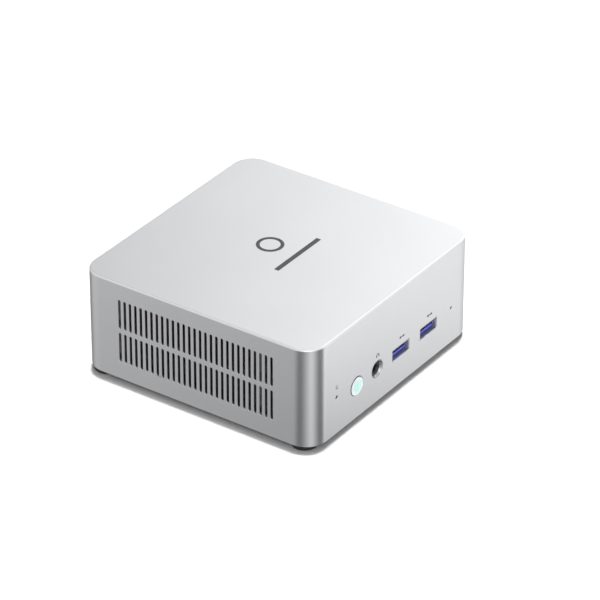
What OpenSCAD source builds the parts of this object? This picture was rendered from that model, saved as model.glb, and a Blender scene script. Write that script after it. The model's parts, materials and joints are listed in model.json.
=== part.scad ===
// Small desktop computer: a metal shell over a motherboard, a blower cooler and its ports.
// Millimetres, +Z up, front ports face -Y, origin on the surface it stands on, at its middle.

/* [Enclosure] */
// Width of the enclosure, side to side
body_w = 127; // [126:0.5:132]
// Depth of the enclosure, front to back
body_d = 125; // [124:0.5:130]
// Height of the metal shell without the feet
shell_h = 49.5; // [49:0.5:54]
// Radius of the four upright corners
corner_r = 10.5; // [9:0.5:12]
// Radius of the rounded edge around the roof
edge_r = 0.9; // [0.5:0.1:1.4]
// Thickness of the shell's roof and walls
wall = 1.8; // [1.5:0.1:2]
// Height of the feet below the shell's lower edge
foot_h = 2.2; // [1.5:0.1:3]
// Diameter of each round foot
foot_dia = 12; // [11:0.5:12]

/* [Side vents] */
// Slots in one row of a side vent
vent_count = 29; // [15:2:29]
// Distance between neighbouring slots
vent_pitch = 2.925; // [2.5:0.025:2.95]
// Width of one slot
vent_slot_w = 1.3; // [1:0.1:1.6]
// Length of one slot
vent_slot_l = 14.75; // [10:0.25:16]
// Distance between the two rows
vent_row_gap = 2.2; // [1.5:0.1:4]

/* [Front controls and ports] */
// Diameter of the power button's face
button_dia = 8.9; // [8:0.1:9.5]
// Travel of the power button
button_travel = 0.4; // [0.2:0.05:0.5]
// Travel of the reset switch behind its pinhole
reset_travel = 0.25; // [0.1:0.05:0.3]
// Diameter of the reset pinhole
pinhole_dia = 1.6; // [1:0.1:2]
// Bore of the headphone jack
jack_bore_dia = 3.6; // [3.55:0.05:3.7]

/* [Motherboard] */
// Height of the board's upper face above the shell's lower edge
board_rise = 13.9; // [13.9:0.1:14.5]
// Thickness of the board
board_t = 1.6; // [1.2:0.1:1.6]

/* [Blower] */
// Blades on the rotor
blade_count = 31; // [21:2:37]
// Radius of the rotor over its blades
rotor_r = 27; // [24:0.5:28]

/* [Base] */
// Distance between the two threaded inserts for a wall bracket
bracket_spacing = 75; // [70:1:80]
// Radius of each insert's threaded hole
insert_hole_r = 1.65; // [1.2:0.05:1.7]

/* [Hidden] */
$fn = 64;

eps = 0.01;                      // overshoot of a cut beyond the face it opens
thin = 0.3;                      // sheet of port shells and fins
ink = 0.04;                      // thickness of printed marks
snug = 0.02;                     // gap around a round piece pressed into its seat

front_y = -body_d / 2;
rear_y = body_d / 2;
shell_z = foot_h;
roof_z = foot_h + shell_h;
ceiling_z = roof_z - wall;

// Base cover
base_recess = 0.5;
base_t = 1.5;
base_gap = 0.15;
base_sunk = 0.8;                 // depth that the screw heads are let in
base_z = shell_z + base_recess;
base_top = base_z + base_t;
foot_sink = 0.5;                 // depth that a foot's neck is let into the base
foot_neck_r = foot_dia / 2 - 2;
foot_x = body_w / 2 - 0.8 - foot_dia / 2;
foot_y = body_d / 2 - 2.8 - foot_dia / 2;
insert_l = 5.5;
insert_r = 2.9;

// Motherboard and the pillars that carry it
board_top = shell_z + board_rise;
board_z = board_top - board_t;
board_w = body_w - 7;
board_d = body_d - 7;
board_pillar = [body_w / 2 - 9, body_d / 2 - 10.5];
base_pillar = [body_w / 2 - 7, body_d / 2 - 24.5];
board_pillar_r = 3;
base_pillar_r = 3.2;
pilot_r = 1.25;
shank_r = 1.2;

// Front row: distance from the middle, and height above the shell's lower edge
reset_x = -45.1;
reset_z = shell_z + 18.7;
button_x = -29.6;
button_z = shell_z + 16.4;
jack_x = -13.6;
jack_z = shell_z + 16.8;
usb_x = [4.95, 27.1];
usb_z = shell_z + 16.95;
mic_x = 45.6;
mic_z = shell_z + 18.5;
symbol_z = shell_z + 23.8;
button_gap = 0.25;
button_proud = 0.3;              // height of the button's face above the front
button_flange_r = button_dia / 2 + 0.75;
jack_hole_r = 4.4;
jack_face_y = front_y + 1.1;
usb_cut = [13.5, 6];
usb_out = [13.2, 5.8];
usb_recess = 0.2;
tongue_z = -0.2;                 // height of a tongue's upper face from the middle of its port
switch_front = front_y + 6.9;
switch_depth = 3.6;
plunger_end = switch_front + 1;  // inner end of both plungers at rest
travel_room = 0.6;               // free depth left past a fully pressed plunger
plunger_r = 1.1;
reset_plunger_r = 0.7;
plunger_gap = 0.08;

// Rear row: every port's middle across, seen from the front
usb_rear_x = -42.5;
lan_x = -25;
displayport_x = -6;
hdmi_x = 13;
usb_c_x = 28;
inlet_x = 42;
port_y = rear_y - 0.4;
panel_gap = 0.15;
panel_w = 102;
panel_h = shell_h - 9;
panel_lip = 1.5;
panel_flange_t = 1.2;
panel_inner_y = rear_y - wall - panel_flange_t;
usb_rear_size = [14, 15.4];
usb_rear_rows = [3.9, 11.5];
usb_rear_depth = 17;
lan_size = [16, 13.4, 16.5];
lan_depth = 13.5;
lan_hole = [11.8, 8];
lan_floor = 2.9;
inlet_size = [9, 11, 14];
inlet_hole_r = 3.2;

// Processor, and the coils and capacitors in front of it
package = [35, 25, 0.8];
die = [15, 13, 0.8];
phase_pitch = 8;

// Cooler
die_top = board_top + package[2] + die[2];
plate_t = 5;
pipe_r = 3;
pipe_x = 7;
pipe_bend_r = 12;
pipe_z = die_top + plate_t;
pipe_end_y = 36;
fin_z = pipe_z + pipe_r + 0.05;
cooler_screw = [31, 22];

// Blower
fan_z = board_top + 17.6;
fan_h = 13;
fan_top = fan_z + fan_h;
fan_y = -3;
fan_half_w = 36;
fan_front = -38;
fan_outlet = 31;
fan_floor = 1;
fan_cover_t = 0.8;
fin_count = 37;
fin_front = fan_outlet + 0.2;
fin_step = 43;                   // where the fins' lower edge steps up over the rear ports
fin_back = panel_inner_y - 0.2;
scroll_r = 31;
intake_r = 20;
hub_r = 11;
hub_wall = 1.3;
fan_shaft_r = 1.5;
shaft_gap = 0.05;
bearing_r = 3;
fan_tube_r = 4;
fan_posts = [[33, -35], [-33, -35], [39, 24], [-39, 24]];
grille_slots = 25;
grille_pitch = 2.9;
grille_slot = [1.8, 10];

// Memory, storage and radio
memory_x = -13;
memory_y = [46, 12];
memory_w = 69.6;
memory_d = 30;
memory_t = 1.2;
memory_z = board_z - 2.4;
memory_seat = 3.4;
socket_w = 75.2;
socket_d = 6.5;
socket_h = 4;
latch_pin_r = 0.6;
latch_pin_gap = 0.06;
latch_x = memory_w / 2 + 1.2;
latch_inset = 1.1;
latch_l = 22;
latch_t = 0.5;
storage_x = 39;
storage_l = 80;
storage_z = board_z - 3.1;
radio_x = -48;
radio_y = -24;
radio_l = 30;
radio_z = board_top + 1.9;
card_w = 22;
card_t = 0.8;
battery = [-30, -38];
battery_r = 10;
battery_t = 3.2;

// Routes of the leads inside, by hand, one point every stretch
fan_lead_r = 0.9;
fan_lead_route = [[-36, -25, 36], [-38.5, -25, 36], [-41, -27, 34], [-42, -31, 30], [-42, -35.5, 26],
                  [-42, -36, 23], [-42, -36, 19.63]];
fan_plug = [-42, -36, board_top];
fan_plug_size = [6, 4, 3.5];
antenna_lead_r = 0.57;
antenna_x = 44.5;
antenna_z = 40;
left_lead_route = [[-44.5, 58.6, 36], [-44.5, 56, 35.6], [-45, 50, 34], [-45, 43, 33.4], [-46, 36, 28],
                   [-48, 26, 22], [-52, 14, 20.2], [-54, 8, 19.4], [-54, 4.2, 19.4]];
right_lead_route = [[44.5, 58.6, 36], [44.3, 56, 34.8], [41, 53, 33], [34, 52, 32.7], [20, 52, 32.7],
                    [0, 52, 32.7], [-20, 52, 32.7], [-33, 51, 32.7], [-40, 46, 33.2], [-42, 40, 31],
                    [-44, 30, 24], [-43, 18, 20.4], [-42.5, 9, 19.4], [-42.5, 4.2, 19.4]];

// ---------- outlines and directions ----------

// Rectangle with round corners, centred
module rounded_rect(w, d, r) {
    square([w - 2 * r, d], center = true);
    square([w, d - 2 * r], center = true);
    for (x = [-1, 1], y = [-1, 1])
        translate([x * (w / 2 - r), y * (d / 2 - r)]) circle(r);
}

// Slot with round ends, centred, long side upright
module stadium(w, l) {
    square([w, l - w], center = true);
    for (s = [-1, 1]) translate([0, s * (l - w) / 2]) circle(w / 2);
}

// Outline of the enclosure, moved in all round by inset
module shell_outline(inset = 0)
    rounded_rect(body_w - 2 * inset, body_d - 2 * inset, corner_r - inset);

// A plan drawn in X and Y, filled from z0 up to z1
module along_z(z0, z1) translate([0, 0, z0]) linear_extrude(z1 - z0) children();

// A face drawn in X and Z, filled from y0 back to y1
module along_y(y0, y1) translate([0, y1, 0]) rotate([90, 0, 0]) linear_extrude(y1 - y0) children();

// A side drawn in Y and Z, filled from x0 to x1
module along_x(x0, x1) translate([x0, 0, 0]) rotate([90, 0, 90]) linear_extrude(x1 - x0) children();

// Rod from y0 to y1 around the line through x, z
module rod_y(x, z, r, y0, y1) translate([x, y0, z]) rotate([-90, 0, 0]) cylinder(r = r, h = y1 - y0);

// Box that is centred in X and starts at y0 and z0
module block(x, y0, z0, size) translate([x - size[0] / 2, y0, z0]) cube(size);

// Four copies, one in each quarter of the plan
module in_corners(p) for (x = [-1, 1], y = [-1, 1]) translate([x * p[0], y * p[1], 0]) children();

// Pan-head screw standing on the plane z = 0 with its shank going up
module screw(head_r, head_h, shank, length) {
    difference() {
        translate([0, 0, -head_h]) cylinder(r = head_r, h = head_h);
        for (turn = [0, 90]) rotate(turn)
            translate([-head_r * 0.6, -0.3, -head_h - 1]) cube([head_r * 1.2, 0.6, 1 + head_h * 0.6]);
    }
    cylinder(r = shank, h = length);
}

// ---------- round leads ----------

function unit(v) = v / norm(v);

// Point at t, 0 to 1, on the smooth curve through route points i and i + 1
function route_point(route, i, t) =
    let (a = route[max(i - 1, 0)], b = route[i], c = route[i + 1], d = route[min(i + 2, len(route) - 1)])
    b + t * (c - a) / 2 + t * t * (2 * a - 5 * b + 4 * c - d) / 2 + t * t * t * (3 * b - a - 3 * c + d) / 2;

// Points along the whole route, about step apart
function route_points(route, step) = concat(
    [for (i = [0 : len(route) - 2])
        let (n = max(1, round(norm(route[i + 1] - route[i]) / step)))
        for (k = [0 : n - 1]) route_point(route, i, k / n)],
    [route[len(route) - 1]]);

// Ring of points of radius r around p, square to the direction along
function ring(p, along, side, r, sides) =
    let (u = unit(cross(along, side)), v = cross(along, u))
    [for (k = [0 : sides - 1]) p + r * (cos(360 * k / sides) * u + sin(360 * k / sides) * v)];

// Round lead along a route; side is a direction that the route never runs in
module lead(route, r, side, sides = 8) {
    pts = route_points(route, 5 * r);
    last = len(pts) - 1;
    rings = [for (i = [0 : last])
        each ring(pts[i], unit(pts[min(i + 1, last)] - pts[max(i - 1, 0)]), side, r, sides)];
    walls = [for (i = [0 : last - 1], k = [0 : sides - 1])
        let (a = i * sides + k, b = i * sides + (k + 1) % sides) [a, a + sides, b + sides, b]];
    caps = [[for (k = [0 : sides - 1]) k], [for (k = [sides - 1 : -1 : 0]) last * sides + k]];
    polyhedron(points = rings, faces = concat(walls, caps));
}

// ---------- enclosure ----------

// Block with the enclosure's outline and a rounded upper edge
module crowned_block(z0, z1, r) {
    along_z(z0, z1 - r) shell_outline();
    along_z(z1 - r - eps, z1) shell_outline(r);
    for (s = [-1, 1]) {
        translate([0, s * (body_d / 2 - r), z1 - r]) rotate([0, 90, 0])
            cylinder(r = r, h = body_w - 2 * corner_r, center = true);
        translate([s * (body_w / 2 - r), 0, z1 - r]) rotate([90, 0, 0])
            cylinder(r = r, h = body_d - 2 * corner_r, center = true);
    }
    for (x = [-1, 1], y = [-1, 1])
        translate([x * (body_w / 2 - corner_r), y * (body_d / 2 - corner_r), z1 - r])
            rotate(90 + 90 * x) rotate_extrude() {
                translate([corner_r - r, 0]) circle(r);
                translate([0, -r]) square([corner_r - r, 2 * r]);
            }
}

// Two rows of upright slots, drawn in Y and Z
module vent_slots() {
    for (row = [-1, 1], i = [0 : vent_count - 1])
        translate([(i - (vent_count - 1) / 2) * vent_pitch,
                   shell_z + shell_h / 2 + 0.2 + row * (vent_slot_l + vent_row_gap) / 2])
            stadium(vent_slot_w, vent_slot_l);
}

// Openings of the front wall, drawn in X and Z
module front_openings() {
    translate([reset_x, reset_z]) circle(pinhole_dia / 2);
    translate([button_x, button_z]) circle(button_dia / 2 + button_gap);
    translate([jack_x, jack_z]) circle(jack_hole_r);
    for (x = usb_x) translate([x, usb_z]) rounded_rect(usb_cut[0], usb_cut[1], 0.5);
    translate([mic_x, mic_z]) circle(pinhole_dia / 2 - 0.1);
}

module top_shell() {
    color([0.80, 0.81, 0.82]) difference() {
        union() {
            difference() {
                crowned_block(shell_z, roof_z, edge_r);
                along_z(shell_z - 1, ceiling_z) shell_outline(wall);
            }
            in_corners(board_pillar) along_z(board_top, ceiling_z + eps) circle(board_pillar_r);
            in_corners(base_pillar) along_z(base_top, ceiling_z + eps) circle(base_pillar_r);
        }
        in_corners(board_pillar) along_z(board_top - 1, board_top + 9) circle(pilot_r);
        in_corners(base_pillar) along_z(base_top - 1, base_top + 12) circle(pilot_r);
        for (side = [0, 1]) mirror([side, 0, 0])
            along_x(body_w / 2 - wall - 0.5, body_w / 2 + 1) vent_slots();
        along_y(front_y - 1, front_y + wall + 0.5) front_openings();
        along_y(rear_y - wall - 0.5, rear_y + 1)
            translate([0, shell_z + shell_h / 2]) rounded_rect(panel_w, panel_h, 3);
    }
}

// Plain ring over a plain bar, printed on the roof
module roof_mark() {
    along_z(roof_z, roof_z + ink) {
        translate([2, 6]) difference() {
            circle(6.4);
            circle(4.7);
        }
        translate([2, -9]) square([33, 2.4], center = true);
    }
}

// Plain pictures of what goes where, printed above the front openings
module front_symbols() {
    along_y(front_y - ink, front_y) {
        for (x = usb_x) translate([x + 1, symbol_z]) {
            square([3.4, 0.45], center = true);
            translate([-1.5, 0]) circle(0.55);
            translate([1.2, 0]) square([0.9, 0.9], center = true);
        }
        translate([jack_x + 0.2, symbol_z]) {
            intersection() {
                difference() {
                    circle(1.1);
                    circle(0.75);
                }
                translate([-1.5, 0]) square([3, 1.5]);
            }
            for (s = [-1, 1]) translate([s * 0.9, -0.35]) square([0.6, 0.9], center = true);
        }
        translate([reset_x + 0.2, symbol_z]) difference() {
            circle(0.9);
            circle(0.65);
            translate([0, -0.35]) square([2, 1]);
        }
    }
}

module printed_marks() {
    color([0.25, 0.26, 0.28]) {
        roof_mark();
        front_symbols();
    }
}

// ---------- rear panel ----------

// The rear ports' outlines, each with the gap g around it, drawn in X and Z
module rear_openings(g) {
    translate([usb_rear_x, board_top + usb_rear_size[1] / 2])
        square([usb_rear_size[0] + 2 * g, usb_rear_size[1] + 2 * g], center = true);
    translate([lan_x, board_top + lan_size[1] / 2])
        square([lan_size[0] + 2 * g, lan_size[1] + 2 * g], center = true);
    translate([displayport_x, board_top + 3]) displayport_outline(g);
    translate([hdmi_x, board_top + 2.9]) hdmi_outline(g);
    translate([usb_c_x, board_top + 1.9]) rotate(90) stadium(3.3 + 2 * g, 9 + 2 * g);
    translate([inlet_x, board_top + 6]) circle(inlet_hole_r + 1);
}

module rear_panel() {
    middle_z = shell_z + shell_h / 2;
    color([0.10, 0.10, 0.11]) difference() {
        union() {
            along_y(rear_y - wall, port_y) translate([0, middle_z])
                rounded_rect(panel_w - 2 * panel_gap, panel_h - 2 * panel_gap, 3 - panel_gap);
            along_y(panel_inner_y, rear_y - wall) translate([0, middle_z])
                rounded_rect(panel_w + 2 * panel_lip, panel_h + 2 * panel_lip, 3);
        }
        along_y(panel_inner_y - 1, rear_y + 1) {
            rear_openings(panel_gap);
            for (i = [0 : grille_slots - 1])
                translate([(i - (grille_slots - 1) / 2) * grille_pitch, fan_top - grille_slot[1] / 2 - 1.5])
                    stadium(grille_slot[0], grille_slot[1]);
        }
    }
}

// ---------- base ----------

// Two groups of air slots and the holes of the base, drawn in X and Y
module base_openings() {
    for (row = [-1, 1], i = [-6 : 6])
        translate([i * 4, row * 14]) stadium(2, 22);
    in_corners(base_pillar) circle(shank_r + 0.3);
}

module base_cover() {
    boss_r = insert_r + 1.6;
    color([0.12, 0.12, 0.13]) difference() {
        union() {
            along_z(base_z, base_top) shell_outline(wall + base_gap);
            for (s = [-1, 1]) translate([s * bracket_spacing / 2, 0, 0])
                along_z(base_z, base_z + insert_l + 0.8) circle(boss_r);
        }
        along_z(base_z - 1, base_top + 1) base_openings();
        in_corners([foot_x, foot_y]) along_z(base_z - 1, base_z + foot_sink) circle(foot_neck_r + 0.1);
        in_corners(base_pillar) along_z(base_z - 1, base_z + base_sunk) circle(2.7);
        for (s = [-1, 1]) translate([s * bracket_spacing / 2, 0, 0])
            along_z(base_z - 1, base_z + insert_l) circle(insert_r + snug);
    }
}

// Round pads with a chamfer below, each on a neck that sits in the base
module rubber_feet() {
    chamfer = 0.2;
    color([0.06, 0.06, 0.06]) in_corners([foot_x, foot_y]) {
        cylinder(r1 = foot_dia / 2 - chamfer, r2 = foot_dia / 2, h = chamfer);
        along_z(chamfer, shell_z - 0.2) circle(foot_dia / 2);
        along_z(chamfer, base_z + foot_sink) circle(foot_neck_r);
    }
}

module case_screws() {
    color([0.2, 0.2, 0.21]) in_corners(base_pillar) translate([0, 0, base_z + base_sunk])
        screw(2.5, base_sunk, shank_r, base_t - base_sunk + 8);
}

module bracket_inserts() {
    color([0.80, 0.65, 0.30]) for (s = [-1, 1]) translate([s * bracket_spacing / 2, 0, 0])
        along_z(base_z, base_z + insert_l) difference() {
            circle(insert_r);
            circle(insert_hole_r);
        }
}

// ---------- front controls ----------

module power_button() {
    back = front_y + wall + 0.1;
    color([0.93, 0.97, 0.97]) {
        rod_y(button_x, button_z, button_dia / 2, front_y - button_proud, back + eps);
        rod_y(button_x, button_z, button_flange_r, back, back + 0.7);
        rod_y(button_x, button_z, 1.3, back + 0.7 - eps, switch_front - 1.6);
    }
}

module power_plunger() {
    color([0.15, 0.15, 0.15]) rod_y(button_x, button_z, plunger_r, switch_front - 1.6, plunger_end);
}

module power_switch() {
    color([0.12, 0.12, 0.13]) difference() {
        block(button_x, switch_front, board_top, [6, switch_depth, 2 * (button_z - board_top)]);
        rod_y(button_x, button_z, plunger_r + plunger_gap, switch_front - 1,
              plunger_end + button_travel + travel_room);
    }
}

module power_lamp() {
    color([0.75, 0.95, 0.95]) block(button_x + 3, front_y + 3.9, board_top, [1.6, 0.9, 1.2]);
}

module reset_plunger() {
    color([0.85, 0.85, 0.82])
        rod_y(reset_x, reset_z, reset_plunger_r, front_y + wall + 1.1, plunger_end);
}

module reset_switch() {
    color([0.12, 0.12, 0.13]) difference() {
        block(reset_x, switch_front, board_top, [6, switch_depth, reset_z - board_top + 2.4]);
        rod_y(reset_x, reset_z, reset_plunger_r + plunger_gap, switch_front - 1,
              plunger_end + reset_travel + travel_room);
    }
}

module microphone() {
    color([0.75, 0.70, 0.55]) difference() {
        block(mic_x, front_y + wall + 0.6, board_top, [3.8, 1.2, mic_z - board_top + 1.9]);
        rod_y(mic_x, mic_z, 0.4, front_y + wall, front_y + wall + 1.2);
    }
}

// Metal ring that lines the jack's hole, wide at its mouth
module jack_collar() {
    outer_r = jack_hole_r - snug;
    throat_r = 3.3;
    throat_y = 1.2;
    color([0.70, 0.70, 0.72]) translate([jack_x, front_y, jack_z]) rotate([-90, 0, 0]) rotate_extrude()
        polygon([[outer_r, 0.1], [outer_r - 0.3, 0.1], [outer_r - 0.5, 0.35], [throat_r, throat_y],
                 [throat_r, wall], [outer_r, wall]]);
}

module headphone_jack() {
    body_y = jack_face_y + 2;
    mouth = 0.8;
    bore_y = jack_face_y + mouth;
    bore_r = jack_bore_dia / 2;
    color([0.05, 0.05, 0.05]) difference() {
        union() {
            block(jack_x, body_y, board_top, [6.6, 12.5, 2 * (jack_z - board_top)]);
            rod_y(jack_x, jack_z, 3.25, jack_face_y, body_y + eps);
        }
        rod_y(jack_x, jack_z, bore_r, bore_y - eps, bore_y + 12);
        translate([jack_x, jack_face_y - eps, jack_z]) rotate([-90, 0, 0])
            cylinder(r1 = bore_r + 0.5, r2 = bore_r, h = mouth + eps);
    }
}

// ---------- ports, each with its mouth at y = 0 facing -Y ----------

// Sheet-metal tunnel around a port
module usb_shell() {
    along_y(0, 14) difference() {
        rounded_rect(usb_out[0], usb_out[1], 0.5);
        square([usb_out[0] - 2 * thin, usb_out[1] - 2 * thin], center = true);
    }
}

// Plastic tongue with a slanted tip in the lower half of the tunnel, and the block that holds it
module usb_tongue() {
    tongue_w = 11.1;
    tongue_t = 1.84;
    tip_y = 1.3;
    tip_t = 1.15;
    translate([-tongue_w / 2, 0, tongue_z]) rotate([90, 0, 90]) linear_extrude(tongue_w)
        polygon([[tip_y, 0], [tip_y, -tip_t], [tip_y + 0.7, -tongue_t], [11 + eps, -tongue_t],
                 [11 + eps, 0]]);
    block(0, 11, -usb_out[1] / 2 + thin, [usb_out[0] - 2 * thin, 3, usb_out[1] - 2 * thin]);
}

// Four long and five short contacts on the tongue
module usb_contacts() {
    for (i = [-1.5 : 1.5]) block(i * 2.3, 2.1, tongue_z, [1, 3.4, 0.15]);
    for (i = [-2 : 2]) block(i * 1.8, 6.2, tongue_z, [0.6, 4.5, 0.2]);
}

module front_usb() for (x = usb_x) translate([x, front_y + usb_recess, usb_z]) children();

module rear_usb() translate([usb_rear_x, port_y, board_top]) rotate(180)
    for (z = usb_rear_rows) translate([0, 0.3, z]) children();

module usb_front_shells() color([0.72, 0.73, 0.75]) front_usb() usb_shell();
module usb_front_tongues() color([0.10, 0.20, 0.75]) front_usb() usb_tongue();
module usb_front_contacts() color([0.85, 0.70, 0.30]) front_usb() usb_contacts();
module usb_rear_tongues() color([0.10, 0.20, 0.75]) rear_usb() usb_tongue();
module usb_rear_contacts() color([0.85, 0.70, 0.30]) rear_usb() usb_contacts();

module usb_rear_shell() {
    color([0.72, 0.73, 0.75]) translate([usb_rear_x, port_y, board_top]) rotate(180)
        along_y(0, usb_rear_depth) difference() {
            translate([0, usb_rear_size[1] / 2]) square(usb_rear_size, center = true);
            for (z = usb_rear_rows) translate([0, z])
                square([usb_out[0] - 2 * thin, usb_out[1] - 2 * thin], center = true);
        }
}

module lan_shield() {
    color([0.72, 0.73, 0.75]) translate([lan_x, port_y, board_top]) rotate(180) difference() {
        block(0, 0, 0, [lan_size[0], lan_size[2], lan_size[1]]);
        block(0, -1, thin, [lan_size[0] - 2 * thin, lan_size[2] + 1 - thin, lan_size[1] - 2 * thin]);
    }
}

module lan_socket() {
    color([0.09, 0.09, 0.10]) translate([lan_x, port_y, board_top + thin]) rotate(180) difference() {
        block(0, 0.2, 0, [lan_size[0] - 2 * thin, lan_size[2] - thin - 0.2, lan_size[1] - 2 * thin]);
        block(0, 0, lan_floor, [lan_hole[0], lan_depth, lan_hole[1]]);
        block(0, 0, lan_floor - 1.3, [6.4, lan_depth, 2]);
        block(0, 0, lan_floor - 2.2, [3.4, lan_depth, 2]);
    }
}

module lan_contacts() {
    color([0.85, 0.70, 0.30]) translate([lan_x, port_y, board_top + thin]) rotate(180)
        for (i = [-3.5 : 3.5]) translate([i * 1.02, 3, lan_floor + lan_hole[1]]) rotate([-14, 0, 0])
            block(0, 0, -0.2, [0.4, 8, 0.2]);
}

// Wide outline with one lower corner cut off
module displayport_outline(g) {
    w = 16.8 / 2 + g;
    h = 5.4 / 2 + g;
    cut = 2.2;
    polygon([[-w, h], [w, h], [w, -h + cut], [w - cut, -h], [-w, -h]]);
}

module displayport_socket() {
    color([0.70, 0.71, 0.73]) translate([displayport_x, port_y, board_top + 3]) mirror([0, 1, 0]) {
        along_y(0, 13) difference() {
            displayport_outline(0);
            displayport_outline(-0.35);
        }
        along_y(10, 13 - eps) displayport_outline(-0.35 + eps);
        block(0, 1.5, 0.1, [12.6, 9, 1.2]);
    }
}

// Wide outline that narrows towards its lower side
module hdmi_outline(g) {
    w = 14.6 / 2 + g;
    h = 5.1 / 2 + g;
    right = [[w, h], [w, -0.6], [w - 1.5, -h + 0.7], [w - 1.8, -h]];
    left = [for (i = [3 : -1 : 0]) [-right[i][0], right[i][1]]];
    polygon(concat(right, left));
}

module hdmi_socket() {
    color([0.70, 0.71, 0.73]) translate([hdmi_x, port_y, board_top + 2.9]) mirror([0, 1, 0]) {
        along_y(0, 12) difference() {
            hdmi_outline(0);
            hdmi_outline(-0.35);
        }
        along_y(9, 12 - eps) hdmi_outline(-0.35 + eps);
        block(0, 1.3, -0.2, [11, 8.5, 1]);
    }
}

module usb_c_socket() {
    color([0.70, 0.71, 0.73]) translate([usb_c_x, port_y, board_top + 1.9]) mirror([0, 1, 0]) {
        along_y(0, 8) rotate(90) difference() {
            stadium(3.3, 9);
            stadium(3.3 - 2 * thin, 9 - 2 * thin);
        }
        along_y(6.5, 8 - eps) rotate(90) stadium(3.3 - 2 * thin + 2 * eps, 9 - 2 * thin + 2 * eps);
        block(0, 0.9, -0.35, [6.7, 6, 0.7]);
    }
}

// Round power inlet with its pin
module power_inlet() {
    color([0.07, 0.07, 0.07]) translate([inlet_x, port_y - 1, board_top]) mirror([0, 1, 0]) {
        difference() {
            union() {
                block(0, 1.6, 0, [inlet_size[0], inlet_size[2] - 1.6, inlet_size[1]]);
                rod_y(0, 6, inlet_hole_r + 0.8, -0.6, 2);
            }
            rod_y(0, 6, inlet_hole_r, -1, 9.5);
        }
        rod_y(0, 6, 1.25, 0.6, 10);
    }
}

// ---------- motherboard ----------

module motherboard() {
    notch_r = base_pillar_r + 0.5;
    color([0.10, 0.20, 0.14]) along_z(board_z, board_top) difference() {
        rounded_rect(board_w, board_d, corner_r - 2.5);
        in_corners(board_pillar) circle(shank_r + 0.3);
        in_corners(base_pillar) circle(notch_r);
        for (s = [-1, 1], y = [-1, 1]) translate([s * (base_pillar[0] + 5), y * base_pillar[1]])
            square([10, 2 * notch_r], center = true);
    }
}

module board_screws() {
    color([0.75, 0.75, 0.77]) in_corners(board_pillar) translate([0, 0, board_z])
        screw(2.3, 1.3, shank_r, board_t + 6);
}

module processor() {
    color([0.16, 0.32, 0.22]) block(0, -package[1] / 2, board_top, package);
    color([0.55, 0.57, 0.62])
        block(0, -die[1] / 2, board_top + package[2] - eps, [die[0], die[1], die[2] + eps]);
}

module controller_chips() {
    color([0.08, 0.08, 0.09]) {
        block(-26.5, -41, board_top, [6, 7, 0.9]);
        block(44, -10, board_top, [9, 9, 1]);
        block(44, 8, board_top, [6, 6, 0.9]);
        block(-46, 30, board_top, [8, 8, 1]);
        block(52, 22, board_top, [5, 6, 0.9]);
    }
}

module power_inductors() {
    color([0.30, 0.30, 0.32]) for (i = [-3 : 3])
        block(i * phase_pitch, -33, board_top, [6.4, 6.4, 4]);
}

module capacitors() {
    color([0.68, 0.69, 0.71]) for (i = [-2.5 : 2.5])
        translate([i * phase_pitch, -41, board_top]) cylinder(r = 2.5, h = 6);
}

// ---------- cooler ----------

// One heat pipe: back over the plate, round a bend and out to the side
module heat_pipe(r) {
    bend_y = pipe_end_y - pipe_bend_r;
    rod_y(pipe_x, pipe_z, r, -20, bend_y);
    translate([pipe_x + pipe_bend_r, bend_y, pipe_z]) rotate([0, 0, 90]) rotate_extrude(angle = 90)
        translate([pipe_bend_r, 0]) circle(r);
    translate([pipe_x + pipe_bend_r, pipe_end_y, pipe_z]) rotate([0, 90, 0])
        cylinder(r = r, h = fan_half_w - 0.5 - pipe_x - pipe_bend_r);
}

module heat_pipes() {
    color([0.80, 0.48, 0.30]) for (side = [0, 1]) mirror([side, 0, 0]) heat_pipe(pipe_r);
}

module cold_plate() {
    color([0.76, 0.46, 0.30]) difference() {
        block(0, -23, die_top, [54, 46, plate_t]);
        for (s = [-1, 1]) rod_y(s * pipe_x, pipe_z, pipe_r + 0.05, -24, 24);
    }
}

// Springy steel bars that press the plate onto the processor
module cooler_bars() {
    color([0.60, 0.61, 0.63]) for (s = [-1, 1]) along_z(board_top + 3.1, board_top + 4.1) difference() {
        translate([s * cooler_screw[0], 0]) square([8, 2 * cooler_screw[1] + 8], center = true);
        for (y = [-1, 1]) translate([s * cooler_screw[0], y * cooler_screw[1]]) circle(1.6);
    }
}

// Studs on the board and the screws that hold the bars to them
module cooler_fixings() {
    color([0.70, 0.70, 0.72]) in_corners(cooler_screw) {
        along_z(board_top, board_top + 3.1) difference() {
            circle(2.6);
            circle(pilot_r);
        }
        translate([0, 0, board_top + 4.1]) mirror([0, 0, 1]) screw(2.5, 1.4, shank_r, 3.6);
    }
}

// Side of one fin: it steps up to clear the rear ports
module fin_side() {
    polygon([[fin_front, fin_z], [fin_step, fin_z], [fin_step, fan_z], [fin_back, fan_z],
             [fin_back, fan_top], [fin_front, fan_top]]);
}

module fin_stack() {
    pitch = (2 * fan_half_w - thin) / (fin_count - 1);
    color([0.75, 0.76, 0.78]) {
        for (i = [0 : fin_count - 1])
            along_x(i * pitch - fan_half_w, i * pitch - fan_half_w + thin) fin_side();
        along_x(-fan_half_w, fan_half_w) {
            translate([fin_front, fin_z]) square([fin_step - fin_front, thin]);
            translate([fin_front, fan_top - thin]) square([fin_back - fin_front, thin]);
        }
    }
}

// ---------- blower ----------

module at_fan() translate([0, fan_y, 0]) children();

// Outline of the blower with its ears
module fan_outline() {
    translate([0, (fan_front + fan_outlet) / 2]) rounded_rect(2 * fan_half_w, fan_outlet - fan_front, 4);
    for (p = fan_posts) translate(p) circle(3.6);
}

// Room that the rotor turns in, and the way out to the fins
module fan_scroll() {
    at_fan() circle(scroll_r);
    translate([-scroll_r + 1, fan_y]) square([2 * scroll_r + 1, fan_outlet - fan_y + 1]);
}

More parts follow.
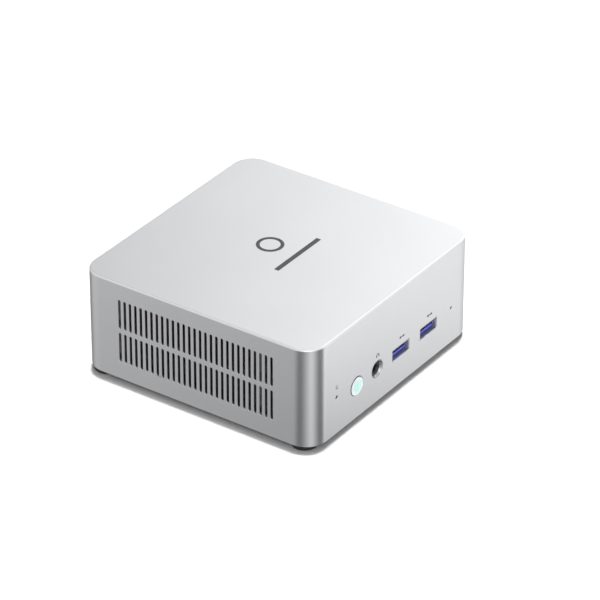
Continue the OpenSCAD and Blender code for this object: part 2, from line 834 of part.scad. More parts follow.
module fan_housing() {
    color([0.09, 0.09, 0.10]) difference() {
        union() {
            along_z(fan_z, fan_top - fan_cover_t) difference() {
                fan_outline();
                fan_scroll();
            }
            along_z(fan_z, fan_z + fan_floor) difference() {
                intersection() {
                    fan_outline();
                    fan_scroll();
                }
                at_fan() circle(intake_r);
            }
            at_fan() along_z(fan_z, fan_z + fan_floor) {
                circle(9);
                for (turn = [0 : 120 : 240]) rotate(turn) translate([0, -1.5]) square([intake_r + 1, 3]);
            }
            at_fan() along_z(fan_z, fan_z + 7.5) circle(fan_tube_r);
        }
        at_fan() along_z(fan_z + fan_floor, fan_top) circle(bearing_r);
        for (p = fan_posts) translate(p) along_z(fan_z - 1, fan_top) circle(shank_r + 0.2);
    }
}

module fan_cover() {
    color([0.62, 0.63, 0.65]) along_z(fan_top - fan_cover_t, fan_top) difference() {
        fan_outline();
        at_fan() circle(intake_r);
        for (p = fan_posts) translate(p) circle(shank_r + 0.2);
    }
}

// Cup-shaped hub with swept blades around it
module fan_rotor() {
    hub_z = fan_z + 2;
    hub_top = fan_z + 10.4;
    color([0.10, 0.10, 0.11]) at_fan() {
        difference() {
            along_z(hub_z, hub_top) circle(hub_r);
            along_z(hub_z - 1, hub_top - 1.4) circle(hub_r - hub_wall);
            along_z(hub_z, hub_top + 1) circle(fan_shaft_r + snug);
        }
        for (i = [0 : blade_count - 1]) rotate(i * 360 / blade_count)
            translate([hub_r - 0.6, 0, hub_z + 0.5]) rotate(-24)
                cube([(rotor_r - hub_r) / cos(24) - 0.6, 0.8, hub_top - hub_z - 0.7]);
    }
}

module fan_shaft() {
    color([0.80, 0.80, 0.82]) at_fan() along_z(fan_z + 1.4, fan_z + 10.4) circle(fan_shaft_r);
}

// Sleeve bearing, and the coils around its tube
module fan_motor() {
    color([0.75, 0.50, 0.25]) at_fan() {
        along_z(fan_z + fan_floor, fan_z + 7.5) difference() {
            circle(bearing_r - snug);
            circle(fan_shaft_r + shaft_gap);
        }
        along_z(fan_z + 2.5, fan_z + 6.5) difference() {
            union() {
                circle(5.2);
                for (turn = [0 : 40 : 320]) rotate(turn) translate([0, -1]) square([8.6, 2]);
                for (turn = [0 : 40 : 320]) rotate(turn) translate([7.8, -1.8]) square([1, 3.6]);
            }
            circle(fan_tube_r + snug);
        }
    }
}

// Posts under the blower and the screws through its ears
module fan_fixings() {
    color([0.72, 0.72, 0.74]) for (p = fan_posts) translate(p) {
        along_z(board_top, fan_z) circle(2.6, $fn = 6);
        translate([0, 0, fan_top]) mirror([0, 0, 1]) screw(2.2, 1.2, shank_r, fan_h);
    }
}

// Blower lead and the plug that it ends in
module fan_lead() {
    color([0.12, 0.12, 0.12]) lead(fan_lead_route, fan_lead_r, [0, 0.8, -0.6]);
    color([0.92, 0.92, 0.88])
        block(fan_plug[0], fan_plug[1] - fan_plug_size[1] / 2, fan_plug[2], fan_plug_size);
}

// ---------- memory ----------

// Place of a memory row, with its latches to either side; the module leaves towards -Y
module memory_row(i) translate([memory_x, memory_y[i], memory_z]) children();

module memory_sockets() {
    color([0.10, 0.10, 0.11]) for (i = [0, 1]) memory_row(i) difference() {
        block(0, 0, board_z - memory_z - socket_h, [socket_w, socket_d, socket_h]);
        block(0, -1, -memory_t / 2 - 0.1, [memory_w + 0.3, 1 + memory_seat + 0.2, memory_t + 0.2]);
        for (s = [-1, 1]) translate([s * latch_x, 0, 0]) {
            translate([0, latch_inset, -3]) cylinder(r = latch_pin_r + latch_pin_gap, h = 6);
            block(0, -1, -3, [1.15, 1 + latch_inset, 6]);
        }
    }
}

module memory_modules() {
    chip = [10, 11, 1];
    for (i = [0, 1]) memory_row(i) {
        color([0.08, 0.25, 0.16])
            block(0, memory_seat - memory_d, -memory_t / 2, [memory_w, memory_d, memory_t]);
        color([0.07, 0.07, 0.08]) for (k = [-2 : 2], z = [memory_t / 2 - eps, eps - memory_t / 2 - chip[2]])
            block(k * 12.5, -18, z, chip);
    }
}

// Spring arm beside a module: it turns on its round end, and its tab holds the module down
module memory_latch(i, side) {
    arm_z = -1.6;
    color([0.74, 0.75, 0.77]) memory_row(i) translate([side * latch_x, latch_inset, 0]) {
        translate([0, 0, arm_z]) cylinder(r = latch_pin_r, h = 2.8);
        block(0, -latch_l - latch_inset, arm_z, [latch_t, latch_l + latch_inset, 2.8]);
        block(-side * 1.05, -latch_l - latch_inset, arm_z, [2.1, 3, 0.5]);
    }
}

module latch_rear_left() memory_latch(0, -1);
module latch_rear_right() memory_latch(0, 1);
module latch_front_left() memory_latch(1, -1);
module latch_front_right() memory_latch(1, 1);

// ---------- storage, radio and clock battery ----------

// Flat card with its edge at y = 0 in a socket, a half-round notch at its far end
module card(length) {
    along_z(0, card_t) difference() {
        translate([-card_w / 2, 0]) square([card_w, length]);
        translate([0, length]) circle(1.75);
    }
}

// Storage card under the board, with its chips facing down
module storage_card() {
    start_y = -storage_l / 2;
    color([0.08, 0.22, 0.30]) translate([storage_x, start_y, storage_z]) card(storage_l);
    color([0.07, 0.07, 0.08]) for (k = [0 : 2])
        block(storage_x, start_y + 14 + k * 19, storage_z - 1.2, [14, 16, 1.2 + eps]);
}

// Radio card on the board under its metal can, with two round aerial terminals
module radio_card() {
    color([0.08, 0.22, 0.30]) translate([radio_x, radio_y, radio_z]) card(radio_l);
    color([0.72, 0.73, 0.75]) block(radio_x, radio_y + 7, radio_z + card_t - eps, [13, 14, 1.3]);
}

// Edge connector that a card slides into, its mouth towards +Y
module card_socket(x, y, z0, z1, card_z) {
    difference() {
        block(x, y - 4, z0, [card_w, 7, z1 - z0]);
        block(x, y, card_z - 0.05, [card_w + 1, 4, card_t + 0.1]);
    }
}

module card_sockets() {
    color([0.10, 0.10, 0.11]) {
        card_socket(storage_x, -storage_l / 2, board_z - 4.2, board_z, storage_z);
        card_socket(radio_x, radio_y, board_top, board_top + 3.2, radio_z);
    }
}

// Stud and screw at the free end of each card
module card_fixings() {
    color([0.75, 0.75, 0.77]) {
        translate([storage_x, storage_l / 2, 0]) {
            along_z(storage_z + card_t, board_z) circle(2.6);
            translate([0, 0, storage_z]) screw(2.6, 0.9, 1.6, card_t);
        }
        translate([radio_x, radio_y + radio_l, 0]) {
            along_z(board_top, radio_z) circle(2.6);
            translate([0, 0, radio_z + card_t]) mirror([0, 0, 1]) screw(2.6, 0.9, 1.6, card_t);
        }
    }
}

module antennas() {
    color([0.14, 0.14, 0.15]) for (s = [-1, 1])
        block(s * antenna_x, panel_inner_y - 0.6, antenna_z - 6, [12, 0.6, 12]);
}

// Two thin leads from the antennas to the radio card, each with a round plug
module antenna_leads() {
    color([0.08, 0.08, 0.08]) {
        lead(left_lead_route, antenna_lead_r, [0.3, 0, 1]);
        lead(right_lead_route, antenna_lead_r, [0, 0, 1]);
    }
    color([0.80, 0.65, 0.30]) for (route = [left_lead_route, right_lead_route])
        let (end = route[len(route) - 1])
            translate([end[0], end[1] - 1, radio_z + card_t]) cylinder(r = 1.2, h = 1.2);
}

// Round cell in its holder under the board
module clock_battery() {
    cell_z = board_z - 0.8 - snug - battery_t;
    translate([battery[0], battery[1], 0]) {
        color([0.78, 0.78, 0.80]) along_z(cell_z, cell_z + battery_t) circle(battery_r);
        color([0.10, 0.10, 0.11]) difference() {
            along_z(board_z - 2.4, board_z) circle(battery_r + 1.5);
            along_z(board_z - 3, board_z - 0.8) circle(battery_r + 0.1);
        }
    }
}

top_shell();
printed_marks();
rear_panel();
base_cover();
rubber_feet();
case_screws();
bracket_inserts();
power_button();
power_plunger();
power_switch();
power_lamp();
reset_plunger();
reset_switch();
microphone();
jack_collar();
headphone_jack();
usb_front_shells();
usb_front_tongues();
usb_front_contacts();
usb_rear_shell();
usb_rear_tongues();
usb_rear_contacts();
lan_shield();
lan_socket();
lan_contacts();
displayport_socket();
hdmi_socket();
usb_c_socket();
power_inlet();
motherboard();
board_screws();
processor();
controller_chips();
power_inductors();
capacitors();
cold_plate();
cooler_bars();
cooler_fixings();
heat_pipes();
fin_stack();
fan_housing();
fan_cover();
fan_rotor();
fan_shaft();
fan_motor();
fan_fixings();
fan_lead();
memory_sockets();
memory_modules();
latch_rear_left();
latch_rear_right();
latch_front_left();
latch_front_right();
storage_card();
radio_card();
card_sockets();
card_fixings();
antennas();
antenna_leads();
clock_battery();
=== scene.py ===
"""Looks of a small desktop computer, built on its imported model.

Most CAD nodes keep their own mesh and get a procedural material. The nodes in SOFT_EDGES are copied
into pieces that stand for them, with rounded edges, more than one material, or both.
"""

import json
import math

import bmesh
import bpy
from mathutils import Matrix, Vector


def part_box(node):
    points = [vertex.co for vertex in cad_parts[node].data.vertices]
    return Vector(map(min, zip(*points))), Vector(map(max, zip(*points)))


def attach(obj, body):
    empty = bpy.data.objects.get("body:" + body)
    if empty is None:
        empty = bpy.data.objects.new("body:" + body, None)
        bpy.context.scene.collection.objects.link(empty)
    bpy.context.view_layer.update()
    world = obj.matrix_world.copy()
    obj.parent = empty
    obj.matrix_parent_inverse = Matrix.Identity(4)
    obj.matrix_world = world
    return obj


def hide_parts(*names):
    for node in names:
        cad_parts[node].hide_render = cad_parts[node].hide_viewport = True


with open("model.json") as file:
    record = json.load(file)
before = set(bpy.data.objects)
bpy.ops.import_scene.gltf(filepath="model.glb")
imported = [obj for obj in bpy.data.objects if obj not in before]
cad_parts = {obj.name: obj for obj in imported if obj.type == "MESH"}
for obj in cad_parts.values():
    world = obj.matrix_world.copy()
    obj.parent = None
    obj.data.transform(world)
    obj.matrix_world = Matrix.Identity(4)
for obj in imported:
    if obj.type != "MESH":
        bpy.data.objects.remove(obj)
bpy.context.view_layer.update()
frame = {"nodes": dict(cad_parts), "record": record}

MM = 0.001
RECORD = frame["record"]
BODY_OF = {node: body for body, nodes in RECORD["behaviour"]["bodies"].items() for node in nodes}
SLOT_OF = {part["node"]: part["material_slot"] for part in RECORD["subparts"]}


# ---------- materials ----------

WHITE = (1.0, 1.0, 1.0)

# A Mix node repeats its sockets' names for each kind of value, so those for colours go by number
MIX_FIRST, MIX_SECOND, MIX_RESULT = 6, 7, 2


def shade(colour, factor):
    return tuple(min(1.0, channel * factor) for channel in colour)


class Look:
    """A Principled material, with short ways to add procedural detail to it."""

    def __init__(self, name, colour, roughness, metallic=0.0):
        self.material = bpy.data.materials.new(name)
        self.material.use_nodes = True
        self.tree = self.material.node_tree
        self.shader = self.tree.nodes["Principled BSDF"]
        self.set("Base Color", colour)
        self.set("Roughness", roughness)
        self.set("Metallic", metallic)
        self.place = self.add("ShaderNodeTexCoord").outputs["Object"]

    def feed(self, socket, value):
        """Gives a socket a fixed number, vector or colour, or links it to another socket."""
        if isinstance(value, bpy.types.NodeSocket):
            self.tree.links.new(value, socket)
        elif socket.type == "RGBA":
            socket.default_value = (*value, 1.0)
        else:
            socket.default_value = value

    def set(self, socket, value):
        """Feeds one of the shader's own sockets."""
        self.feed(self.shader.inputs[socket], value)

    def add(self, kind, feeds=None, **settings):
        """A new node with settings, and with a value or socket for each input that feeds names."""
        node = self.tree.nodes.new(kind)
        for setting, value in settings.items():
            setattr(node, setting, value)
        for socket, value in (feeds or {}).items():
            self.feed(node.inputs[socket], value)
        return node

    def math(self, operation, *values):
        """The result of an operation on numbers or sockets."""
        return self.add("ShaderNodeMath", dict(enumerate(values)), operation=operation).outputs["Value"]

    def vector_math(self, operation, *values):
        """The results of an operation on vectors or sockets, by name."""
        return self.add("ShaderNodeVectorMath", dict(enumerate(values)), operation=operation).outputs

    def split(self, value, kind="ShaderNodeSeparateXYZ"):
        """The channels of a vector or colour, by name."""
        return self.add(kind, {0: value}).outputs

    def noise(self, size, detail=2.0, stretch=(1.0, 1.0, 1.0)):
        """Soft random values from 0 to 1, with blotches about size across."""
        scaled = self.add("ShaderNodeMapping", {"Scale": stretch, "Vector": self.place}).outputs["Vector"]
        feeds = {"Scale": 1.0 / size, "Detail": detail, "Vector": scaled}
        return self.add("ShaderNodeTexNoise", feeds).outputs["Fac"]

    def spread(self, value, low, high, start=0.3, end=0.7):
        """Maps a value from start..end on to low..high."""
        feeds = {"Value": value, "From Min": start, "From Max": end, "To Min": low, "To Max": high}
        return self.add("ShaderNodeMapRange", feeds).outputs["Result"]

    def ramp(self, value, stops):
        """Colour at a value from 0 to 1, which eases between stops of position and colour."""
        node = self.add("ShaderNodeValToRGB", {"Fac": value})
        node.color_ramp.interpolation = "EASE"
        elements = node.color_ramp.elements
        for position, colour in stops:
            elements.new(position).color = (*colour, 1.0)
        elements.remove(elements[0])
        return node.outputs["Color"]

    def blend(self, amount, first, second):
        """Mixes two colours by amount."""
        feeds = {"Factor": amount, MIX_FIRST: first, MIX_SECOND: second}
        return self.add("ShaderNodeMix", feeds, data_type="RGBA").outputs[MIX_RESULT]

    def vary_colour(self, colour, size, amount):
        """Lets the colour drift by amount to both sides, in blotches about size across."""
        darker, lighter = shade(colour, 1.0 - amount), shade(colour, 1.0 + amount)
        self.set("Base Color", self.blend(self.noise(size), darker, lighter))

    def vary_roughness(self, size, low, high):
        """Lets the roughness drift from low to high, in blotches about size across."""
        self.set("Roughness", self.spread(self.noise(size), low, high))

    def bump(self, height, depth, strength):
        """Makes the surface look raised by depth where height is 1."""
        node = self.add("ShaderNodeBump", {"Strength": strength, "Distance": depth, "Height": height})
        self.set("Normal", node.outputs["Normal"])

    def glow(self, strength, colour=WHITE):
        self.set("Emission Color", colour)
        self.set("Emission Strength", strength)


def blasted_aluminium(name, colour):
    """Bead-blasted, anodised aluminium."""
    look = Look(name, colour, roughness=0.34, metallic=1.0)
    look.vary_colour(colour, size=40 * MM, amount=0.03)
    look.vary_roughness(size=0.9 * MM, low=0.30, high=0.36)
    look.bump(look.noise(0.25 * MM, detail=3.0), depth=0.012 * MM, strength=0.5)
    return look.material


def moulded(name, colour, roughness, grain=0.4 * MM):
    """Moulded plastic or rubber with a fine spark-eroded texture."""
    look = Look(name, colour, roughness)
    look.vary_colour(colour, size=12 * MM, amount=0.12)
    look.vary_roughness(size=2 * MM, low=roughness - 0.06, high=roughness + 0.06)
    look.bump(look.noise(grain, detail=3.0), depth=0.03 * MM, strength=0.6)
    return look.material


def metal(name, colour, roughness, grain=0.6 * MM):
    """Bare or plated metal, whose grain shows in its colour, its roughness and its surface."""
    look = Look(name, colour, roughness, metallic=1.0)
    mottling = look.noise(grain, detail=4.0)
    look.set("Base Color", look.blend(mottling, shade(colour, 0.90), shade(colour, 1.06)))
    look.set("Roughness", look.spread(mottling, roughness - 0.07, roughness + 0.07))
    look.bump(mottling, depth=0.01 * MM, strength=0.4)
    return look.material


def satin_sheet(name, colour):
    """Dull plated sheet inside a port, which scatters the light that enters."""
    look = Look(name, colour, roughness=0.42, metallic=0.25)
    look.vary_colour(colour, size=1.5 * MM, amount=0.15)
    look.vary_roughness(size=0.5 * MM, low=0.34, high=0.50)
    return look.material


def lit_button_face(name):
    """Milky plastic with a cool lamp behind its middle."""
    low, high = (Vector(corner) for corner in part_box("power_button"))
    middle = (low + high) / 2
    radius = (high.z - low.z) / 2
    without_y = (1.0, 0.0, 1.0)
    cloudiness = 0.06
    lamp_colours = (
        (0.0, (0.42, 0.80, 0.74)),
        (0.35, (0.52, 0.82, 0.78)),
        (0.80, (0.78, 0.84, 0.84)),
        (1.0, (0.82, 0.83, 0.84)),
    )
    look = Look(name, (0.88, 0.93, 0.93), roughness=0.35)
    offset = look.vector_math("SUBTRACT", look.place, middle)["Vector"]
    flat = look.vector_math("MULTIPLY", offset, without_y)["Vector"]
    away = look.math("DIVIDE", look.vector_math("LENGTH", flat)["Value"], radius)
    cloudy = look.math("ADD", away, look.spread(look.noise(1.6 * MM), -cloudiness, cloudiness))
    colour = look.ramp(cloudy, lamp_colours)
    look.set("Base Color", colour)
    look.glow(0.30, colour)
    look.bump(look.noise(0.3 * MM, detail=3.0), depth=0.01 * MM, strength=0.3)
    return look.material


def circuit_board(name, colour):
    """Solder mask with raised tracks along both axes and small tinned pads."""
    track_pitch = 9 * MM
    patch_size = 7 * MM
    pad_pitch = 3.2 * MM
    tin = (0.55, 0.54, 0.50)
    look = Look(name, colour, roughness=0.32)

    def tracks_along(direction, patches):
        feeds = {"Scale": 1.0 / track_pitch, "Distortion": 0.0, "Vector": look.place}
        wave = look.add("ShaderNodeTexWave", feeds, bands_direction=direction)
        lines = look.spread(wave.outputs["Fac"], 0.0, 1.0, start=0.86, end=0.92)
        return look.math("MULTIPLY", lines, patches)

    blotches = look.noise(patch_size, detail=0.0, stretch=(1.0, 1.0, 0.0))
    patches = look.spread(blotches, 0.0, 1.0, start=0.50, end=0.52)
    other_patches = look.math("SUBTRACT", 1.0, patches)
    tracks = look.math("MAXIMUM", tracks_along("X", patches), tracks_along("Y", other_patches))
    feeds = {"Scale": 1.0 / pad_pitch, "Randomness": 0.55, "Vector": look.place}
    to_pad = look.add("ShaderNodeTexVoronoi", feeds).outputs["Distance"]
    pads = look.spread(to_pad, 1.0, 0.0, start=0.10, end=0.14)
    mask = look.blend(tracks, shade(colour, 0.9), shade(colour, 1.7))
    look.set("Base Color", look.blend(pads, mask, tin))
    look.vary_roughness(size=3 * MM, low=0.26, high=0.40)
    look.bump(look.math("MAXIMUM", tracks, pads), depth=0.03 * MM, strength=0.7)
    return look.material


MATERIALS = {
    "shell_metal": blasted_aluminium("shell_metal_look", (0.60, 0.605, 0.615)),
    "print_ink": moulded("print_ink_look", (0.035, 0.036, 0.04), 0.55),
    "black_plastic": moulded("black_plastic_look", (0.016, 0.016, 0.017), 0.5),
    "foot_rubber": moulded("foot_rubber_look", (0.012, 0.012, 0.012), 0.75, grain=0.8 * MM),
    "screw_steel": metal("screw_steel_look", (0.55, 0.55, 0.57), 0.28),
    "dark_steel": metal("dark_steel_look", (0.09, 0.09, 0.10), 0.38),
    "brass": metal("brass_look", (0.72, 0.52, 0.22), 0.3),
    "button_plastic": moulded("button_plastic_look", (0.86, 0.90, 0.90), 0.3),
    "lamp_plastic": moulded("lamp_plastic_look", (0.75, 0.85, 0.85), 0.25),
    "nickel": metal("nickel_look", (0.36, 0.36, 0.37), 0.24, grain=2.5 * MM),
    "port_steel": metal("port_steel_look", (0.50, 0.50, 0.53), 0.28, grain=2.0 * MM),
    "port_blue": moulded("port_blue_look", (0.09, 0.11, 0.70), 0.32),
    "contact_gold": metal("contact_gold_look", (0.83, 0.62, 0.24), 0.22),
    "board_green": circuit_board("board_green_look", (0.010, 0.045, 0.028)),
    "chip_black": moulded("chip_black_look", (0.02, 0.02, 0.022), 0.42),
    "coil_grey": moulded("coil_grey_look", (0.09, 0.09, 0.10), 0.6),
    "can_aluminium": metal("can_aluminium_look", (0.62, 0.63, 0.65), 0.3),
    "copper": metal("copper_look", (0.75, 0.36, 0.20), 0.3),
    "lead_black": moulded("lead_black_look", (0.015, 0.015, 0.015), 0.45),
}
BUTTON_FACE = lit_button_face("button_face_look")
# Painted shade: the dark side of the button's cap stands in for the shadow in the gap around the power
# button
BUTTON_SIDE_SHADE = moulded("button_side_painted_shade_look", (0.10, 0.10, 0.11), 0.5)
# Painted reflection: the lining's blue-grey tint stands in for the blue tongues mirrored in the ports'
# plated steel
PORT_LINING_REFLECTION = satin_sheet("port_lining_painted_reflection_look", (0.36, 0.37, 0.46))
CHIP = MATERIALS["chip_black"]
DIE = metal("bare_die_look", (0.30, 0.31, 0.34), 0.18)
WHITE_PLUG = moulded("white_plug_look", (0.72, 0.71, 0.66), 0.4)


# ---------- pieces ----------

# Copied meshes: points this close are one, and faces this near to one plane become one face
SAME_POINT = 0.0005 * MM
SAME_PLANE = math.radians(0.2)

# Edges sharper than CREASE stay sharp in the shading, and those sharper than BEVEL_FROM are rounded
CREASE = math.radians(30)
BEVEL_FROM = math.radians(38)
BEVEL_STEPS = 2
FULL_WEIGHT = 100


def object_from(bm, name):
    """A new object from a bmesh, which shades smoothly except at creases."""
    mesh = bpy.data.meshes.new(name)
    bm.to_mesh(mesh)
    bm.free()
    for face in mesh.polygons:
        face.use_smooth = True
    mesh.set_sharp_from_angle(angle=CREASE)
    piece = bpy.data.objects.new(name, mesh)
    bpy.context.scene.collection.objects.link(piece)
    return piece


def soften(piece, width):
    """Rounds the sharp edges by width, and lets the flat faces beside them look flat."""
    bevel = piece.modifiers.new("soft_edges", "BEVEL")
    bevel.width = width
    bevel.segments = BEVEL_STEPS
    bevel.limit_method = "ANGLE"
    bevel.angle_limit = BEVEL_FROM
    bevel.use_clamp_overlap = False
    weights = piece.modifiers.new("flat_faces_stay_flat", "WEIGHTED_NORMAL")
    weights.weight = FULL_WEIGHT


def from_node(node, width):
    """A piece with the shape of a CAD node that stands for it, with its edges rounded by width."""
    bm = bmesh.new()
    bm.from_mesh(frame["nodes"][node].data)
    bmesh.ops.remove_doubles(bm, verts=bm.verts, dist=SAME_POINT)
    bmesh.ops.dissolve_limit(bm, angle_limit=SAME_PLANE, verts=bm.verts, edges=bm.edges)
    piece = object_from(bm, node + "_piece")
    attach(piece, BODY_OF[node])
    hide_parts(node)
    piece.data.materials.append(MATERIALS[SLOT_OF[node]])
    if width:
        soften(piece, width)
    return piece


def paint(piece, material, chosen):
    """Gives a material to the faces whose middle and normal are chosen."""
    piece.data.materials.append(material)
    for face in piece.data.polygons:
        if chosen(face.center, face.normal):
            face.material_index = len(piece.data.materials) - 1


# Nodes that get a piece, and how far its edges are rounded in mm: 0 for those that only get painted
SOFT_EDGES = {
    "top_shell": 0.15,
    "rear_panel": 0.12,
    "base_cover": 0.15,
    "power_button": 0.25,
    "rubber_feet": 0.15,
    "usb_front_shells": 0,
    "usb_rear_shell": 0,
    "memory_modules": 0,
    "storage_card": 0,
    "radio_card": 0,
    "processor": 0,
    "fan_lead": 0,
}
pieces = {node: from_node(node, width * MM) for node, width in SOFT_EDGES.items()}


def paint_button():
    """Paints the side of the power button's cap dark, as painted shade of the gap around it, and then its
    lit front.
    """
    skin = 0.05 * MM
    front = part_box("power_button")[0][1]
    paint(pieces["power_button"], BUTTON_SIDE_SHADE, lambda middle, normal: abs(normal.y) < 0.7)
    paint(pieces["power_button"], BUTTON_FACE, lambda middle, normal: middle.y < front + skin)


def paint_port_reflection_lining(node):
    """Paints the faces of port shells that look into a port with a blue-grey lining, which is a painted
    reflection of the blue tongues.
    """
    skin = 0.05 * MM
    low, high = (Vector(corner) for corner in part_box(node))

    def inside(middle, normal):
        along_port = abs(normal.y) < 0.5
        outer = min(middle.x - low.x, high.x - middle.x, middle.z - low.z, high.z - middle.z) < skin
        return along_port and not outer

    paint(pieces[node], PORT_LINING_REFLECTION, inside)


# What stands on small boards: the board's thickness in mm, where the board lies in the node's
# height (0 lowest, 1 highest), and the material of the pieces on it
ON_BOARDS = {
    "memory_modules": (1.2, 0.5, CHIP),
    "storage_card": (0.8, 1.0, CHIP),
    "radio_card": (0.8, 0.0, MATERIALS["port_steel"]),
    "processor": (0.8, 0.0, DIE),
}


def paint_pieces_on_board(node):
    """Paints what lies above or below a small board."""
    thickness, place, material = ON_BOARDS[node]
    low, high = (corner[2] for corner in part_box(node))
    start = low + place * (high - low - thickness * MM)
    end = start + thickness * MM
    slack = 0.1 * MM
    paint(pieces[node], material, lambda middle, normal: not start - slack < middle.z < end + slack)


def paint_fan_plug():
    """Paints the plug at the low end of the fan's lead."""
    plug_height = 3.5 * MM
    slack = 0.01 * MM
    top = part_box("fan_lead")[0][2] + plug_height
    paint(pieces["fan_lead"], WHITE_PLUG, lambda middle, normal: middle.z < top + slack)


def paint_cad_nodes():
    """Gives each CAD node that still shows the material of its slot."""
    for node, shown in frame["nodes"].items():
        if node not in SOFT_EDGES:
            shown.data.materials.clear()
            shown.data.materials.append(MATERIALS[SLOT_OF[node]])


paint_button()
paint_port_reflection_lining("usb_front_shells")
paint_port_reflection_lining("usb_rear_shell")
paint_fan_plug()
for node in ON_BOARDS:
    paint_pieces_on_board(node)
paint_cad_nodes()


# ---------- camera, floor and light ----------

# The photo's viewing angle: place in metres, directions, and focal length in mm on a 36 mm sensor
CAMERA_PLACE = Vector((-1.22599, -0.86382, 0.94392))
CAMERA_FORWARD = Vector((0.700312, 0.486762, -0.522136))
CAMERA_RIGHT = Vector((0.571628, -0.820511, 0.001771))
CAMERA_LENS = 235.58
CAMERA_SENSOR = 36.0


def make_camera():
    data = bpy.data.cameras.new("camera")
    data.sensor_width = CAMERA_SENSOR
    data.lens = CAMERA_LENS
    data.clip_start, data.clip_end = 0.01, 50.0
    camera = bpy.data.objects.new("camera", data)
    up = CAMERA_RIGHT.cross(CAMERA_FORWARD)
    axes = Matrix((CAMERA_RIGHT, up, -CAMERA_FORWARD)).transposed()
    camera.matrix_world = Matrix.Translation(CAMERA_PLACE) @ axes.to_4x4()
    bpy.context.scene.collection.objects.link(camera)
    bpy.context.scene.camera = camera


def plate(name, half, height):
    """A flat square of half side half at a height."""
    bm = bmesh.new()
    corners = ((-half, -half), (half, -half), (half, half), (-half, half))
    bm.faces.new([bm.verts.new((x, y, height)) for x, y in corners])
    return object_from(bm, name)


def make_floor():
    """Pale floor that lights the object softly from below but isn't mirrored in it."""
    pale, paler = (0.90, 0.90, 0.90), (0.91, 0.91, 0.91)
    floor = plate("floor", half=8.0, height=0.0)
    look = Look("floor_look", pale, roughness=0.9)
    look.set("Base Color", look.blend(look.noise(0.5), pale, paler))
    floor.data.materials.append(look.material)
    floor.visible_glossy = False


# What the walls mirror, by compass direction in degrees from +X towards +Y: a brightness, and how
# fast it grows with distance (per metre, around RING_RADIUS)
STUDIO_RING = (
    (0, 0.24, 3.0), (20, 0.12, 2.0), (50, 0.06, 2.0), (80, 0.24, 2.0), (108, 0.57, 2.0), (128, 0.58, 2.0),
    (148, 0.51, 2.0), (168, 0.47, 2.0), (180, 0.16, 2.0), (196, 0.14, 2.0), (214, 0.46, 2.0),
    (236, 0.88, 2.0), (254, 0.48, 2.0), (268, 0.16, 2.0), (286, 0.09, 4.0), (300, 1.24, 7.6),
    (322, 0.85, 7.6), (342, 0.56, 7.6),
)
RING_RADIUS = 0.5
MOST_GROWTH = 1.6
FLOOR_CARD_HALF = 6.0
FLOOR_CARD_DEPTH = 0.25

# Card that the roof mirrors: its middle, half its side, the brightness in the middle, its growth per
# metre across, and the least that it falls to
ROOF_CARD_PLACE = Vector((0.28, 0.195, 0.26))
ROOF_CARD_HALF = 0.45
ROOF_CARD_LEVEL = 1.26
ROOF_CARD_SLOPE = 3.0
ROOF_CARD_LEAST = 0.8
ROOF_MIDDLE = Vector((0.0, 0.0, 0.05))

# The room's brightness as a lamp, and where metal mirrors it
ROOM_LEVEL = 0.16
MIRRORED_ROOM_LEVEL = 1.2


def only_mirrored(card):
    """Keeps a studio card out of everything but reflections."""
    card.visible_camera = False
    card.visible_diffuse = False
    card.visible_shadow = False
    card.visible_transmission = False


def make_floor_card():
    """Card below the floor that gives the walls their gradients."""
    card = plate("floor_card", FLOOR_CARD_HALF, -FLOOR_CARD_DEPTH)
    look = Look("floor_card_look", (0.0, 0.0, 0.0), roughness=1.0)
    place = look.split(look.place)
    angle = look.math("ARCTAN2", place["Y"], place["X"])
    turn = look.math("WRAP", look.math("DIVIDE", angle, math.tau), 1.0, 0.0)
    stops = [(direction / 360, (level, slope, 0.0)) for direction, level, slope in STUDIO_RING]
    ring = look.split(look.ramp(turn, stops + [(1.0, stops[0][1])]), "ShaderNodeSeparateColor")
    distance = look.vector_math("LENGTH", look.place)["Value"]
    beyond = look.math("SUBTRACT", distance, RING_RADIUS)
    growth = look.math("MULTIPLY_ADD", beyond, ring["Green"], 1.0)
    limited = look.math("MINIMUM", look.math("MAXIMUM", growth, 0.0), MOST_GROWTH)
    look.glow(look.math("MULTIPLY", ring["Red"], limited))
    card.data.materials.append(look.material)
    only_mirrored(card)


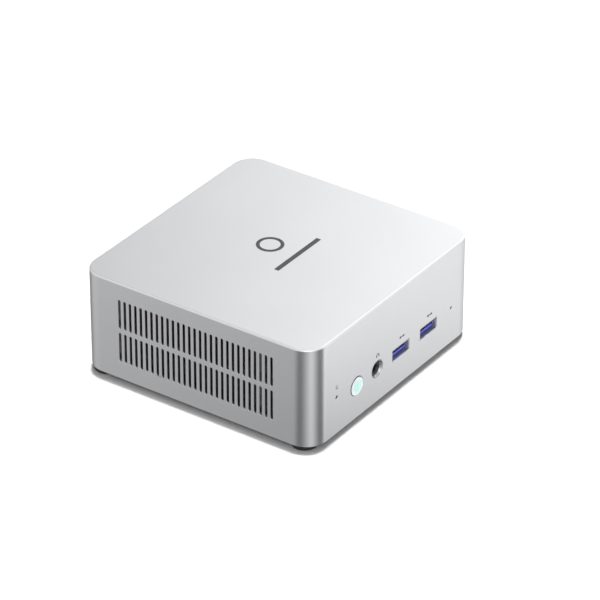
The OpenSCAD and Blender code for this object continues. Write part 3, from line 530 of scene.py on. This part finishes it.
def make_roof_card():
    """Upright card behind the object that brightens the roof from left to right."""
    card = plate("roof_card", ROOF_CARD_HALF, 0.0)
    across = CAMERA_RIGHT.normalized()
    facing = (ROOF_MIDDLE - ROOF_CARD_PLACE).normalized()
    axes = Matrix((across, facing.cross(across), facing)).transposed()
    card.matrix_world = Matrix.Translation(ROOF_CARD_PLACE) @ axes.to_4x4()
    look = Look("roof_card_look", (0.0, 0.0, 0.0), roughness=1.0)
    level = look.math("MULTIPLY_ADD", look.split(look.place)["X"], ROOF_CARD_SLOPE, ROOF_CARD_LEVEL)
    look.glow(look.math("MAXIMUM", level, ROOF_CARD_LEAST))
    card.data.materials.append(look.material)
    only_mirrored(card)


def make_sun(name, place, strength, width):
    """A light that shines from the direction of a place on to the origin, width degrees across."""
    data = bpy.data.lights.new(name, "SUN")
    data.energy = strength
    data.angle = math.radians(width)
    light = bpy.data.objects.new(name, data)
    light.location = place
    light.rotation_mode = "QUATERNION"
    light.rotation_quaternion = (-Vector(place)).to_track_quat("-Z", "Y")
    light.visible_camera = False
    bpy.context.scene.collection.objects.link(light)
    return light


def make_lights():
    key = make_sun("key", place=(0.060, 0.028, 1.0), strength=3.3, width=2.6)
    key.visible_glossy = False
    make_sun("fill", place=(-0.80, -0.72, 0.75), strength=0.62, width=50)


def make_world():
    """Even grey room: dim as a lamp, so that shadows stay, but bright where metal mirrors it."""
    world = bpy.data.worlds.new("studio")
    world.use_nodes = True
    tree = world.node_tree
    level = tree.nodes.new("ShaderNodeMapRange")
    level.inputs["To Min"].default_value = ROOM_LEVEL
    level.inputs["To Max"].default_value = MIRRORED_ROOM_LEVEL
    tree.links.new(tree.nodes.new("ShaderNodeLightPath").outputs["Is Glossy Ray"], level.inputs["Value"])
    background = tree.nodes["Background"]
    background.inputs["Color"].default_value = (*WHITE, 1.0)
    tree.links.new(level.outputs["Result"], background.inputs["Strength"])
    bpy.context.scene.world = world
    bpy.context.scene.view_settings.view_transform = "Standard"


make_camera()
make_floor()
make_floor_card()
make_roof_card()
make_lights()
make_world()
